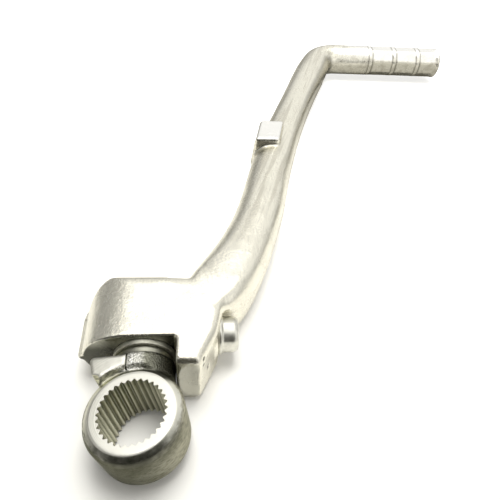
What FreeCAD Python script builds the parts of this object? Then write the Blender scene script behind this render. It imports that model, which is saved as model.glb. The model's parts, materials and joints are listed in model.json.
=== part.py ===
import FreeCAD, Part
import math
import os
import Sketcher
from FreeCAD import Placement, Rotation, Vector

# Folding kick start lever, in millimetres.
# Origin: centre of the serrated bore. +Y runs along the post, +X is the pedal's side,
# Z is across the flat lever.
doc = FreeCAD.newDocument("kick_start_lever")

# Driving dimensions
sheet = doc.addObject("Spreadsheet::Sheet", "sheet")
dims = {
    # knuckle, in its own frame, turned by rest_tilt about the post
    "rest_tilt": 8.7,
    "ring_half": 8.7,
    "ring_wall": 3.55,
    "ring_draft": 0.5,
    "face_chamfer": 2.1,
    "chamfer_depth": 1.3,
    "brim_ease": 0.45,
    "brim_depth": 1.4,
    "foot_chamfer": 1.2,
    "foot_depth": 2.6,
    "bore_minor": 8.35,
    "tooth_depth": 0.7,
    "tooth_count": 32,
    "tooth_land": 0.27,
    "root_flat": 0.26,
    "cove_width": 0.8,
    "neck_length": 4.5,
    "lug_in": 0.5,
    "lug_width": 9.7,
    "lug_taper": 1.2,
    "lug_drop": 1.9,
    "lug_set": 0.7,
    "lug_hollow": 1.4,
    "lug_round": 1.0,
    "lug_nose": 0.6,
    # post and what runs on it
    "running_gap": 0.05,
    "post_radius": 6.95,
    "post_tail": 2.7,
    "post_chamfer": 0.8,
    "collar_step": 1.25,
    "collar_length": 2.5,
    "washer_width": 2.0,
    "washer_thickness": 1.5,
    "seal_place": 2.4,
    "seal_thickness": 1.5,
    "seal_room": 0.5,
    "dog_groove_depth": 1.65,
    "dog_groove_width": 4.4,
    # lever head: walls round the socket, and the ear that meets the knuckle's lug
    "head_wall": 3.6,
    "left_wall": 11.7,
    "back_wall": 2.6,
    "socket_floor": 0.8,
    "crown_width": 15.5,
    "back_round": 4.2,
    "corner_round": 12.0,
    "rim_round": 3.0,
    "ear_room": 0.3,
    "ear_lap": 0.3,
    "ear_width": 6.6,
    "ear_round": 1.5,
    "stop_gap": 0.1,
    # shoulder beside the screw, and the arm's root
    "seat_wall": 14.4,
    "shoulder_in": 0.4,
    "shoulder_up": 1.4,
    "shoulder_round": 5.0,
    "hollow_out": 1.6,
    "hollow_up": 3.6,
    "hollow_round": 9.0,
    "root_wall": 5.4,
    "root_drop": 2.0,
    "root_round": 5.0,
    "root_reach": 3.0,
    "root_rise": 3.6,
    "root_width": 16.8,
    "root_slope": 4.4,
    # arm, bend and pedal
    "arm_crown": 1.4,
    "arm_lean": 21.6,
    "bend_radius": 14.0,
    "bend_corner": 86.6,
    "pedal_line": 220.0,
    "pedal_tip": 157.6,
    "bar_radius": 7.9,
    "rib_pitch": 14.2,
    "rib_width": 1.8,
    "flat_depth": 0.55,
    "tip_flare": 0.8,
    "tip_width": 3.0,
    "tip_round": 0.9,
    # flash left round the hood by the forging dies
    "flash_proud": 0.35,
    "flash_height": 0.8,
    # small stop block on the arm
    "block_height": 11.3,
    "block_length": 14.5,
    "block_width": 10.25,
    "block_shift": 3.55,
    "block_left": 8.7,
    "block_draft": 1.4,
    "block_sink": 1.4,
    "block_round": 0.9,
    # retaining screw
    "screw_place": 7.1,
    "thread_radius": 3.0,
    "dog_radius": 2.0,
    "dog_step": 0.6,
    "dog_gap": 0.25,
    "hex_flats": 10.0,
    "hex_height": 4.8,
    "flange_rim": 0.33,
    "flange_height": 1.2,
    "seat_room": 0.5,
    "boss_rim": 0.9,
    # detent ball and spring
    "ball_place": 15.0,
    "ball_radius": 2.5,
    "ball_proud": 1.15,
    "hole_floor": 3.0,
    "wire_radius": 0.3,
    "coil_room": 0.25,
    "coil_seat": 0.02,
    "coil_turns": 4.0,
}
for row, (name, value) in enumerate(dims.items(), start=1):
    sheet.set("A%d" % row, name)
    sheet.set("B%d" % row, str(value))
    sheet.setAlias("B%d" % row, name)
doc.recompute()


class Size:
    # a length with its value and the expression that gives it
    def __init__(self, value, text):
        self.value = float(value)
        self.text = text

    def __add__(self, other):
        other = size(other)
        return Size(self.value + other.value, "(%s + %s)" % (self.text, other.text))

    def __sub__(self, other):
        other = size(other)
        return Size(self.value - other.value, "(%s - %s)" % (self.text, other.text))

    def __mul__(self, factor):
        return Size(self.value * factor, "(%s * %r)" % (self.text, factor))

    def __neg__(self):
        return Size(-self.value, "(0 - %s)" % self.text)


def size(item):
    # an alias of the sheet, a plain number, or a size as it is
    if isinstance(item, Size):
        return item
    if isinstance(item, str):
        return Size(dims[item], "sheet." + item)
    return Size(item, repr(float(item)))


def bind(obj, **sizes):
    for prop, item in sizes.items():
        obj.setExpression(prop, size(item).text)


def place(obj, rotation, x=0.0, y=0.0, z=0.0):
    spot = [size(item) for item in (x, y, z)]
    obj.Placement = Placement(Vector(*[item.value for item in spot]), rotation)
    for axis, item in zip("xyz", spot):
        obj.setExpression("Placement.Base." + axis, item.text)


def pin(sketch, geo, pos, kind, item):
    # holds one coordinate of a point from the sketch's origin
    item = size(item)
    if abs(item.value) < 1e-9:
        axis = -2 if kind == "DistanceX" else -1
        sketch.addConstraint(Sketcher.Constraint("PointOnObject", geo, pos, axis))
        return
    ends = (-1, 1, geo, pos) if item.value > 0 else (geo, pos, -1, 1)
    index = sketch.addConstraint(Sketcher.Constraint(kind, *ends, abs(item.value)))
    sketch.setExpression("Constraints[%d]" % index, item.text if item.value > 0 else (-item).text)


def outline(name, points, rotation, body=None, x=0.0, z=0.0):
    # closed outline of straight lines with every corner held
    sketch = doc.addObject("Sketcher::SketchObject", name)
    if body is not None:
        body.addObject(sketch)
    place(sketch, rotation, x=x, z=z)
    corners = [Vector(size(x).value, size(y).value, 0) for x, y in points]
    count = len(corners)
    for i in range(count):
        sketch.addGeometry(Part.LineSegment(corners[i], corners[(i + 1) % count]))
    for i in range(count):
        sketch.addConstraint(Sketcher.Constraint("Coincident", i, 2, (i + 1) % count, 1))
    for i, (x, y) in enumerate(points):
        pin(sketch, i, 1, "DistanceX", x)
        pin(sketch, i, 1, "DistanceY", y)
    return sketch


def primitive(kind, name, rotation, spot=(0.0, 0.0, 0.0), **sizes):
    obj = doc.addObject("Part::" + kind, name)
    bind(obj, **sizes)
    place(obj, rotation, *spot)
    return obj


def boolean(kind, name, base, tool):
    obj = doc.addObject("Part::" + kind, name)
    obj.Base = base
    obj.Tool = tool
    doc.recompute()
    return obj


def fused(name, shapes):
    obj = doc.addObject("Part::MultiFuse", name)
    obj.Shapes = shapes
    doc.recompute()
    return obj


def prism(name, sketch, direction, length):
    obj = doc.addObject("Part::Extrusion", name)
    obj.Base = sketch
    obj.Dir = direction
    bind(obj, LengthFwd=length)
    obj.Solid = True
    doc.recompute()
    return obj


def edgesAt(shape, test):
    return [i for i, edge in enumerate(shape.Edges, start=1) if test(edge)]


def upright(edge, x, y):
    # an edge that runs along Z at a plan point
    spot = edge.CenterOfMass
    box = edge.BoundBox
    thin = max(box.XLength, box.YLength) < 0.01 < box.ZLength
    return thin and math.hypot(spot.x - size(x).value, spot.y - size(y).value) < 0.05


def level(edge, z):
    # an edge that lies flat at a height
    return edge.BoundBox.ZLength < 0.01 and abs(edge.CenterOfMass.z - z) < 0.01


def rounded(name, base, choices):
    # fillets, each with its size in the sheet and the test that finds its edges
    obj = doc.addObject("Part::Fillet", name)
    obj.Base = base
    obj.Edges = [(i, dims[alias], dims[alias]) for alias, test in choices for i in edgesAt(base.Shape, test)]
    doc.recompute()
    return obj


flat = Rotation()
across = Rotation(Vector(1, 0, 0), 90)       # a sketch seen along Y: x to X, y to Z
sideways = Rotation(Vector(1, 1, 1), 120)    # a sketch seen along X: x to Y, y to Z
alongX = Rotation(Vector(0, 1, 0), 90)       # a primitive's axis to +X
alongY = Rotation(Vector(1, 0, 0), -90)      # a primitive's axis to +Y
past = 1.0                                   # how far a cutter runs past what it cuts

# Radii round the post
gap = size("running_gap")
socketRadius = size("post_radius") + gap
washerRadius = socketRadius + "washer_width"
collarRadius = size("post_radius") + "collar_step"
grooveRadius = size("post_radius") - "dog_groove_depth"
ballReach = size("post_radius") + "ball_proud" - "ball_radius"
earWall = washerRadius + "ear_room"

# Places along the post, from the ring to the head's back
ringHalf = size("ring_half")
boreMajor = size("bore_minor") + "tooth_depth"
barrel = boreMajor + "ring_wall"
brim = barrel + "ring_draft"
faceRadius = brim - "face_chamfer"
neckEnd = barrel + "neck_length"
collarEnd = neckEnd + "collar_length"
endFace = collarEnd + "washer_thickness" + gap * 2
sealPlace = endFace + "seal_place"
screwPlace = endFace + "screw_place"
ballPlace = endFace + "ball_place"
postEnd = ballPlace + "ball_radius" + "post_tail"
headBack = postEnd + "socket_floor" + "back_wall"

# Knuckle: ring, neck, stop lug and post are one forging
knuckle = doc.addObject("PartDesign::Body", "splined_knuckle")
knuckle.Placement = Placement(Vector(0, 0, 0), Rotation(Vector(0, -1, 0), dims["rest_tilt"]))
knuckle.setExpression("Placement.Rotation.Angle", "sheet.rest_tilt")


def step(feature):
    knuckle.Tip = feature
    doc.recompute()
    return feature


def turned(kind, name, points, rotation):
    sketch = outline(name + "_profile", points, rotation, knuckle)
    feature = knuckle.newObject("PartDesign::" + kind, name)
    feature.Profile = sketch
    feature.ReferenceAxis = (sketch, ["V_Axis"])
    feature.Angle = 360
    return step(feature)


# The barrel has the forging's draft, and is widest near its front, where the brim is eased
easedBrim = brim - "brim_ease"
chamferFoot = ringHalf - "chamfer_depth"
turned("Revolution", "ring", [
    ("bore_minor", -ringHalf),
    (barrel - "foot_chamfer", -ringHalf),
    (barrel, -ringHalf + "foot_depth"),
    (brim, chamferFoot - "brim_depth"),
    (easedBrim, chamferFoot),
    (easedBrim, ringHalf),
    ("bore_minor", ringHalf),
], across)

neckStart = size("bore_minor") - "ring_wall"
turned("Revolution", "neck_and_post", [
    (0.0, neckStart),
    (washerRadius, neckStart),
    (washerRadius, neckEnd),
    (collarRadius, neckEnd),
    (collarRadius, collarEnd),
    ("post_radius", collarEnd),
    ("post_radius", postEnd - "post_chamfer"),
    (size("post_radius") - "post_chamfer", postEnd),
    (0.0, postEnd),
], flat)

# Stop lug: it narrows towards the ring and flows into it through a hollow
lugTop = earWall - "stop_gap"
lugLeft = -(brim - "lug_in")
lugNose = lugLeft + "lug_taper"
lugRight = lugLeft + "lug_width"
lugFar = neckEnd - "lug_set"
lugNear = brim - "lug_drop"
hollowRadius = size("lug_hollow")
hollowY = lugNear - hollowRadius
hollowX = -math.sqrt((brim + hollowRadius).value ** 2 - hollowY.value ** 2)
onRing = brim.value / (brim + hollowRadius).value
lugPlan = outline("stop_lug_plan", [
    (lugRight, lugFar),
    (lugLeft, lugFar),
    (lugNose, lugNear),
    (hollowX, lugNear),
    (hollowX, hollowY),
    (hollowX * onRing, hollowY * onRing),
    (lugRight, "bore_minor"),
], flat, knuckle, z=-ringHalf)
lug = knuckle.newObject("PartDesign::Pad", "stop_lug")
lug.Profile = lugPlan
bind(lug, Length=lugTop + ringHalf)
step(lug)
hollow = knuckle.newObject("PartDesign::SubtractiveCylinder", "lug_hollow_cut")
bind(hollow, Radius=hollowRadius, Height=ringHalf * 4)
place(hollow, flat, hollowX, hollowY, -ringHalf * 2)
step(hollow)


def lugFillet(name, base, radius, x, y):
    feature = knuckle.newObject("PartDesign::Fillet", name)
    corner = edgesAt(base.Shape, lambda edge: upright(edge, x, y))
    feature.Base = (base, ["Edge%d" % i for i in corner])
    bind(feature, Radius=radius)
    return step(feature)


lugBack = lugFillet("lug_back_round", hollow, "lug_round", lugLeft, lugFar)
lugFillet("lug_nose_round", lugBack, "lug_nose", lugNose, lugNear)

bore = knuckle.newObject("PartDesign::SubtractiveCylinder", "bore")
bind(bore, Radius="bore_minor", Height=ringHalf * 4)
place(bore, flat, z=-ringHalf * 2)
step(bore)

# Face and chamfer are turned from the front; the tool's cove runs on into the neck and the lug
coveEdge = brim + "cove_width"
turned("Groove", "turned_face", [
    (faceRadius, ringHalf),
    (easedBrim, chamferFoot),
    (coveEdge, lugTop),
    (coveEdge, lugTop + ringHalf),
    (size("bore_minor") - past, lugTop + ringHalf),
    (size("bore_minor") - past, ringHalf),
], across)

# The back is faced flat, so that the neck's round doesn't stand above it
turned("Groove", "turned_back", [
    (size("bore_minor") - past, -ringHalf),
    (coveEdge, -ringHalf),
    (coveEdge, -washerRadius - past),
    (size("bore_minor") - past, -washerRadius - past),
], across)

# Serrations: one tooth space, run a little into the bore, then repeated round it
pitch = Size(2 * math.pi * dims["bore_minor"] / dims["tooth_count"],
             "(2 * pi * sheet.bore_minor / sheet.tooth_count)")
spaceHalf = (pitch - "tooth_land") * 0.5
rootHalf = size("root_flat") * 0.5
inward = 0.4
innerHalf = spaceHalf + (spaceHalf - rootHalf) * inward
innerEdge = size("bore_minor") - size("tooth_depth") * inward
toothProfile = outline("serration_profile", [
    (innerEdge, -innerHalf),
    (boreMajor, -rootHalf),
    (boreMajor, rootHalf),
    (innerEdge, innerHalf),
], flat, knuckle)
toothSpace = knuckle.newObject("PartDesign::Pocket", "serration")
toothSpace.Profile = toothProfile
toothSpace.Type = "ThroughAll"
toothSpace.Midplane = True
step(toothSpace)
serrations = knuckle.newObject("PartDesign::PolarPattern", "serrations")
serrations.Originals = [toothSpace]
serrations.Axis = (toothProfile, ["N_Axis"])
serrations.Angle = 360
bind(serrations, Occurrences="tooth_count")
step(serrations)


def postGroove(name, middle, width, bottom):
    turned("Groove", name, [
        (bottom, middle - width * 0.5),
        (socketRadius + past, middle - width * 0.5),
        (socketRadius + past, middle + width * 0.5),
        (bottom, middle + width * 0.5),
    ], flat)


# Grooves for the seal and the screw's dog point, and the ball's blind hole
sealHalf = size("seal_thickness") * 0.5
sealRadius = socketRadius - gap * 0.4 - sealHalf
postGroove("seal_groove", sealPlace, size("seal_thickness") + "seal_room", sealRadius - sealHalf - gap * 0.4)
postGroove("dog_groove", screwPlace, size("dog_groove_width"), grooveRadius)
ballHole = knuckle.newObject("PartDesign::SubtractiveCylinder", "ball_hole")
bind(ballHole, Radius=size("ball_radius") + gap, Height=socketRadius + "hole_floor")
place(ballHole, Rotation(Vector(0, 1, 0), -90), "hole_floor", ballPlace)
step(ballHole)

# Washer in the gap, and seal ring on the post
washerStart = collarEnd + gap
washerDisc = primitive("Cylinder", "washer_disc", alongY, (0.0, washerStart, 0.0),
                       Radius=washerRadius, Height="washer_thickness")
washerHole = primitive("Cylinder", "washer_hole", alongY, (0.0, washerStart - past, 0.0),
                       Radius=socketRadius, Height=size("washer_thickness") + 2 * past)
washer = boolean("Cut", "thrust_washer", washerDisc, washerHole)
seal = primitive("Torus", "post_seal", alongY, (0.0, sealPlace, 0.0), Radius1=sealRadius, Radius2=sealHalf)


def onHole(obj, turn, along):
    # puts an object on the ball hole's axis, turned with the knuckle, at a length along it
    rest = math.radians(dims["rest_tilt"])
    spot = Vector(along.value * math.cos(rest), ballPlace.value, along.value * math.sin(rest))
    obj.Placement = Placement(spot, Rotation(Vector(0, -1, 0), turn + dims["rest_tilt"]))
    obj.setExpression("Placement.Base.x", along.text + " * cos(sheet.rest_tilt)")
    obj.setExpression("Placement.Base.y", ballPlace.text)
    obj.setExpression("Placement.Base.z", along.text + " * sin(sheet.rest_tilt)")
    obj.setExpression("Placement.Rotation.Angle", "%r + sheet.rest_tilt" % turn)


# Detent ball, and the spring that fills the hole behind it
ball = doc.addObject("Part::Sphere", "detent_ball")
bind(ball, Radius="ball_radius")
onHole(ball, 0.0, -ballReach)

coilRadius = size("ball_radius") - "wire_radius" - "coil_room"
coilStart = size("hole_floor") - "wire_radius" - "coil_seat"
reach = size("ball_radius") + "wire_radius" + "coil_seat"
touch = Size(math.sqrt(reach.value ** 2 - coilRadius.value ** 2),
             "sqrt(%s ^ 2 - %s ^ 2)" % (reach.text, coilRadius.text))
coilLength = coilStart + ballReach - touch
spring = doc.addObject("PartDesign::Body", "detent_spring")
wireSketch = doc.addObject("Sketcher::SketchObject", "spring_wire")
spring.addObject(wireSketch)
wireSketch.Placement = Placement(Vector(0, 0, 0), across)
wireCircle = Part.Circle(Vector(coilRadius.value, 0, 0), Vector(0, 0, 1), dims["wire_radius"])
wireSketch.addGeometry(wireCircle)
pin(wireSketch, 0, 3, "DistanceX", coilRadius)
pin(wireSketch, 0, 3, "DistanceY", 0.0)
wireSize = wireSketch.addConstraint(Sketcher.Constraint("Radius", 0, dims["wire_radius"]))
bind(wireSketch, **{"Constraints[%d]" % wireSize: "wire_radius"})
coil = spring.newObject("PartDesign::AdditiveHelix", "coil")
coil.Profile = wireSketch
coil.ReferenceAxis = (wireSketch, ["V_Axis"])
coil.Mode = 0
bind(coil, Height=coilLength, Pitch=coilLength * (1 / dims["coil_turns"]))
spring.Tip = coil
onHole(spring, 90.0, coilStart)
doc.recompute()

# Hood: a plan with a round back corner, crowned on its left and rounded at its back
headHalf = socketRadius + "head_wall"
headLeft = -(socketRadius + "left_wall")
rootX = socketRadius + "root_wall"
rootCorner = (rootX, headBack - "root_drop")
hoodPlan = outline("hood_plan", [
    (headLeft, endFace),
    (headLeft, headBack),
    (0.0, headBack),
    rootCorner,
    (rootX, endFace),
], flat, z=-headHalf)
hoodPrism = prism("hood_prism", hoodPlan, Vector(0, 0, 1), headHalf * 2)
hoodBlock = rounded("hood_block", hoodPrism, [
    ("corner_round", lambda edge: upright(edge, headLeft, headBack)),
])

half = headHalf.value
left = headLeft.value
crownX = left + dims["crown_width"]
slabEnd = rootX.value + past
crownEllipse = Part.Ellipse(Vector(left, 0, 0), Vector(crownX, half, 0), Vector(crownX, 0, 0))
crown = doc.addObject("Sketcher::SketchObject", "hood_section")
crown.Placement = Placement(Vector(0, 0, 0), across)
crown.addGeometry(Part.ArcOfEllipse(crownEllipse, -math.pi / 2, math.pi / 2))
crown.addGeometry(Part.LineSegment(Vector(crownX, half, 0), Vector(slabEnd, half, 0)))
crown.addGeometry(Part.LineSegment(Vector(slabEnd, half, 0), Vector(slabEnd, -half, 0)))
crown.addGeometry(Part.LineSegment(Vector(slabEnd, -half, 0), Vector(crownX, -half, 0)))
hoodSlab = prism("hood_slab", crown, Vector(0, 1, 0), headBack * 2)
hoodShape = boolean("Common", "hood_shape", hoodBlock, hoodSlab)

backSketch = outline("hood_back_profile", [
    (0.0, -headHalf),
    (headBack, -headHalf),
    (headBack, headHalf),
    (0.0, headHalf),
], sideways, x=headLeft * 2)
backPrism = prism("hood_back_prism", backSketch, Vector(1, 0, 0), (rootX - headLeft) * 2)


def backEdge(edge):
    return edge.BoundBox.XLength > past and abs(edge.CenterOfMass.y - headBack.value) < 0.01


backRounds = rounded("hood_back_rounds", backPrism, [("back_round", backEdge)])
hood = boolean("Common", "hood", hoodShape, backRounds)

# Shoulder: the ear, the screw's seat with the hollow above it, and the arm's root
screwSeat = socketRadius + "seat_wall"
earSide = earWall + "ear_width"
earEnd = barrel - "ear_lap"
seatHollow = (screwSeat + "hollow_out", screwPlace + "hollow_up")
shoulderPoint = (screwSeat - "shoulder_in", endFace + "shoulder_up")
rootLeft = (rootX + "root_reach", headBack + "root_rise")
rootRight = (rootLeft[0] + "root_width", rootLeft[1] - "root_slope")
innerY = ballPlace
innerX = socketRadius
shoulderPlan = outline("shoulder_plan", [
    (0.0, endFace),
    (0.0, innerY),
    (innerX, innerY),
    rootCorner,
    rootLeft,
    rootRight,
    seatHollow,
    shoulderPoint,
    (earSide, earEnd),
    (earWall, earEnd),
    (earWall, endFace),
], flat, z=-headHalf)
shoulderPrism = prism("shoulder_prism", shoulderPlan, Vector(0, 0, 1), headHalf * 2)
shoulderBlock = rounded("shoulder_block", shoulderPrism, [
    ("root_round", lambda edge: upright(edge, *rootCorner)),
    ("hollow_round", lambda edge: upright(edge, *seatHollow)),
    ("shoulder_round", lambda edge: upright(edge, *shoulderPoint)),
    ("ear_round", lambda edge: upright(edge, earSide, earEnd)),
])


def between(edge, start, end):
    # the edge's middle is midway between two corners in plan
    spot = edge.CenterOfMass
    x = (start[0] + end[0]).value / 2
    y = (start[1] + end[1]).value / 2
    return math.hypot(spot.x - x, spot.y - y) < past


def rim(edge):
    # top and bottom edges of the shoulder's right-hand side, and of the root's left and far end
    spot = edge.CenterOfMass
    outer = spot.x > (earWall + earSide).value / 2 and spot.y < rootRight[1].value - past
    root = between(edge, rootCorner, rootLeft) or between(edge, rootLeft, rootRight)
    return (outer or root) and (level(edge, half) or level(edge, -half))


shoulder = rounded("shoulder", shoulderBlock, [("rim_round", rim)])

# Arm: rounded sections along the S-bend, up to where the round bar bends. Each has its share of the way
# across and along, its heading from +Y, its width against the bar's, how much of the head's extra
# height it keeps, and the share of its half width that its corners round off.
turn = 90.0 - dims["arm_lean"]
run = dims["bend_radius"] * math.tan(math.radians(turn / 2))
heading = math.radians(dims["arm_lean"])
bendStart = (dims["bend_corner"] - run * math.sin(heading), dims["pedal_line"] - run * math.cos(heading))
bendEnd = dims["bend_corner"] + run
barWidth = 2 * dims["bar_radius"]
blockStation = (0.585, 0.510, 16.5, 1.04, 0.18, 0.80)
stations = [
    (0.205, 0.078, 32.0, 1.01, 0.92, 0.45),
    (0.293, 0.134, 30.0, 1.22, 0.97, 0.58),
    (0.372, 0.204, 23.5, 1.17, 0.78, 0.76),
    (0.462, 0.310, 17.5, 1.09, 0.48, 0.80),
    (0.526, 0.415, 14.5, 1.06, 0.30, 0.80),
    blockStation,
    (0.679, 0.636, 19.5, 0.99, 0.07, 0.80),
    (0.785, 0.762, 21.0, 0.97, 0.00, 0.85),
    (1.000, 1.000, dims["arm_lean"], 1.00, 0.00, 0.97),
]


def armSpot(station):
    x, y = station[:2]
    return Vector(x * bendStart[0], endFace.value + y * (bendStart[1] - endFace.value), 0)


def section(name, spot, width, height, share):
    # rounded rectangle about its own centre, crowned on top and below: each side has a corner arc after it
    sketch = doc.addObject("Sketcher::SketchObject", name)
    sketch.Placement = spot
    a = width / 2
    b = height / 2
    r = share * min(a, b)
    crown = dims["arm_crown"] * share * (1 - share)
    b -= crown
    sides = [
        (Vector(a, r - b, 0), Vector(a, b - r, 0), Vector(a - r, b - r, 0)),
        (Vector(a - r, b, 0), Vector(r - a, b, 0), Vector(r - a, b - r, 0)),
        (Vector(-a, b - r, 0), Vector(-a, r - b, 0), Vector(r - a, r - b, 0)),
        (Vector(r - a, -b, 0), Vector(a - r, -b, 0), Vector(a - r, r - b, 0)),
    ]
    for i, (start, end, centre) in enumerate(sides):
        if i % 2:
            sketch.addGeometry(Part.Arc(start, Vector(0, start.y + math.copysign(crown, start.y), 0), end))
        else:
            sketch.addGeometry(Part.LineSegment(start, end))
        circle = Part.Circle(centre, Vector(0, 0, 1), r)
        sketch.addGeometry(Part.ArcOfCircle(circle, i * math.pi / 2, (i + 1) * math.pi / 2))
    for i in range(8):
        sketch.addConstraint(Sketcher.Constraint("Coincident", i, 2, (i + 1) % 8, 1))
    return sketch


def lofted(name, sections, ruled):
    obj = doc.addObject("Part::Loft", name)
    obj.Sections = sections
    obj.Solid = True
    obj.Ruled = ruled
    doc.recompute()
    return obj


sections = []
for i, station in enumerate(stations, start=1):
    facing = Rotation(Vector(0, 0, 1), -station[2]).multiply(across)
    width = barWidth * station[3]
    height = barWidth + (2 * half - barWidth) * station[4]
    spot = Placement(armSpot(station), facing)
    sections.append(section("arm_section_%d" % i, spot, width, height, station[5]))
arm = lofted("arm", sections, False)

# Flash stands round the hood on the parting plane
flashProud = size("flash_proud")
flashBase = size("flash_height") * -0.5
hoodFlashPlan = outline("hood_flash_plan", [
    (headLeft - flashProud, endFace),
    (headLeft - flashProud, headBack + flashProud),
    (0.0, headBack + flashProud),
    rootCorner,
    (rootX, endFace),
], flat, z=flashBase)
hoodFlashPrism = prism("hood_flash_prism", hoodFlashPlan, Vector(0, 0, 1), "flash_height")
hoodFlash = rounded("hood_flash", hoodFlashPrism, [
    ("corner_round", lambda edge: upright(edge, headLeft - flashProud, headBack + flashProud)),
])

# Bend and pedal: a round bar, then flats between ribs, then the flared end
pedalLine = size("pedal_line")
pedalTip = size("pedal_tip")
bend = primitive("Torus", "bend", Rotation(Vector(0, 0, 1), 90), (bendEnd, pedalLine - "bend_radius", 0.0),
                 Radius1="bend_radius", Radius2="bar_radius", Angle3=turn)
ribCount = 3
firstRib = pedalTip - size("rib_pitch") * ribCount
bar = primitive("Cylinder", "pedal_bar", alongX, (bendEnd, pedalLine, 0.0),
                Radius="bar_radius", Height=firstRib + "rib_width" - bendEnd)
ribs = []
for i in range(1, ribCount):
    ribX = pedalTip - size("rib_pitch") * i
    ribs.append(primitive("Cylinder", "pedal_rib_%d" % i, alongX, (ribX, pedalLine, 0.0),
                          Radius="bar_radius", Height="rib_width"))
flatCount = 8
flatRadius = size("bar_radius") - "flat_depth"
flatTurn = alongX.multiply(Rotation(Vector(0, 0, 1), 180.0 / flatCount))
core = primitive("Prism", "pedal_core", flatTurn, (firstRib, pedalLine, 0.0),
                 Circumradius=flatRadius * (1 / math.cos(math.pi / flatCount)),
                 Height=size("rib_pitch") * ribCount - size("tip_width") * 0.5)
core.Polygon = flatCount
flare = primitive("Cone", "pedal_flare", alongX, (pedalTip - "tip_width", pedalLine, 0.0),
                  Radius1=flatRadius, Radius2=size("bar_radius") + "tip_flare", Height="tip_width")
doc.recompute()


def tipEdge(edge):
    return edge.BoundBox.XLength < 0.01 and abs(edge.CenterOfMass.x - pedalTip.value) < 0.01


tip = rounded("pedal_end", flare, [("tip_round", tipEdge)])

# Stop block: ends square to the head, sides along the arm, wider at its foot, which is sunk below the middle
blockSpot = armSpot(blockStation)
blockHeight = size("block_height")


def blockOutline(name, grow, z):
    left = size(blockSpot.x) - "block_left"
    near = size(blockSpot.y)
    far = near + "block_length"
    return outline(name, [
        (left - grow, near - grow),
        (left + "block_width", near - grow),
        (left + "block_width" + "block_shift", far + grow),
        (left + "block_shift" - grow, far + grow),
    ], flat, z=z)


blockFoot = blockOutline("block_foot", size("block_draft"), size("block_sink") * -1.0)
blockTop = blockOutline("block_top", 0.0, blockHeight)
block = lofted("arm_block", [blockFoot, blockTop], True)
blockRounds = rounded("block_rounds", block, [("block_round", lambda edge: level(edge, blockHeight.value))])

# One forging, with a boss under the screw
hexRadius = size("hex_flats") * (1 / math.sqrt(3))
flangeRadius = hexRadius + "flange_rim"
boss = primitive("Cylinder", "screw_boss", alongX, (socketRadius, screwPlace, 0.0),
                 Radius=flangeRadius + "boss_rim", Height="seat_wall")
doc.recompute()
forms = [hood, shoulder, arm, bend, bar, core, tip, blockRounds, boss, hoodFlash] + ribs
forging = fused("forging", forms)

# What is machined into the forging: socket, ball track, screw hole and the screw's seat
socket = primitive("Cylinder", "socket", alongY, (0.0, earEnd, 0.0),
                   Radius=socketRadius, Height=postEnd + "socket_floor" - earEnd)
track = primitive("Torus", "ball_track", alongY, (0.0, ballPlace, 0.0),
                  Radius1=ballReach, Radius2=size("ball_radius") + gap * 2)
screwHole = primitive("Cylinder", "screw_hole", alongX, (0.0, screwPlace, 0.0),
                      Radius=size("thread_radius") + gap * 0.4, Height=screwSeat)
spotFace = primitive("Cylinder", "spot_face", alongX, (screwSeat, screwPlace, 0.0),
                     Radius=flangeRadius + "seat_room", Height=size("hex_height") * 3)
lever = boolean("Cut", "lever_arm", forging, fused("lever_cutters", [socket, track, screwHole, spotFace]))

# Retaining screw: hex head with a chamfered crown, flange, thread and dog point
headHeight = size("flange_height") + "hex_height"
crownTop = size("hex_flats") * 0.47
hexBar = primitive("Prism", "screw_hex", alongX, (screwSeat, screwPlace, 0.0),
                   Circumradius=hexRadius, Height=headHeight)
hexBar.Polygon = 6
hexCone = primitive("Cone", "screw_crown", alongX, (screwSeat, screwPlace, 0.0),
                    Radius1=crownTop + headHeight * 0.6, Radius2=crownTop, Height=headHeight)
hexHead = boolean("Common", "screw_head", hexBar, hexCone)
flange = primitive("Cylinder", "screw_flange", alongX, (screwSeat, screwPlace, 0.0),
                   Radius=flangeRadius, Height="flange_height")
threadEnd = socketRadius + "dog_step"
thread = primitive("Cylinder", "screw_thread", alongX, (threadEnd, screwPlace, 0.0),
                   Radius="thread_radius", Height=screwSeat - threadEnd)
dogEnd = grooveRadius + "dog_gap"
dog = primitive("Cylinder", "screw_dog", alongX, (dogEnd, screwPlace, 0.0),
                Radius="dog_radius", Height=threadEnd - dogEnd)
screw = fused("retaining_screw", [hexHead, flange, thread, dog])

# Checks, then one file for each piece
for obj in doc.Objects:
    if "Invalid" in obj.State or "Error" in obj.State:
        raise RuntimeError("not built: " + obj.Label)
nodes = [lever, knuckle, screw, washer, seal, ball, spring]
for node in nodes:
    shape = node.Shape
    if shape.isNull() or not shape.isValid() or len(shape.Solids) != 1:
        raise RuntimeError("bad shape: " + node.Label)
    box = shape.BoundBox
    print(node.Label, "volume", round(shape.Volume, 1), "x", round(box.XMin, 2), round(box.XMax, 2),
          "y", round(box.YMin, 2), round(box.YMax, 2), "z", round(box.ZMin, 2), round(box.ZMax, 2))
os.makedirs("parts", exist_ok=True)
for node in nodes:
    node.Shape.exportStep("parts/" + node.Label + ".step")
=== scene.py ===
import bpy
import bmesh
import json
import math
from mathutils import Matrix, Vector, noise
from mathutils.bvhtree import BVHTree

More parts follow.
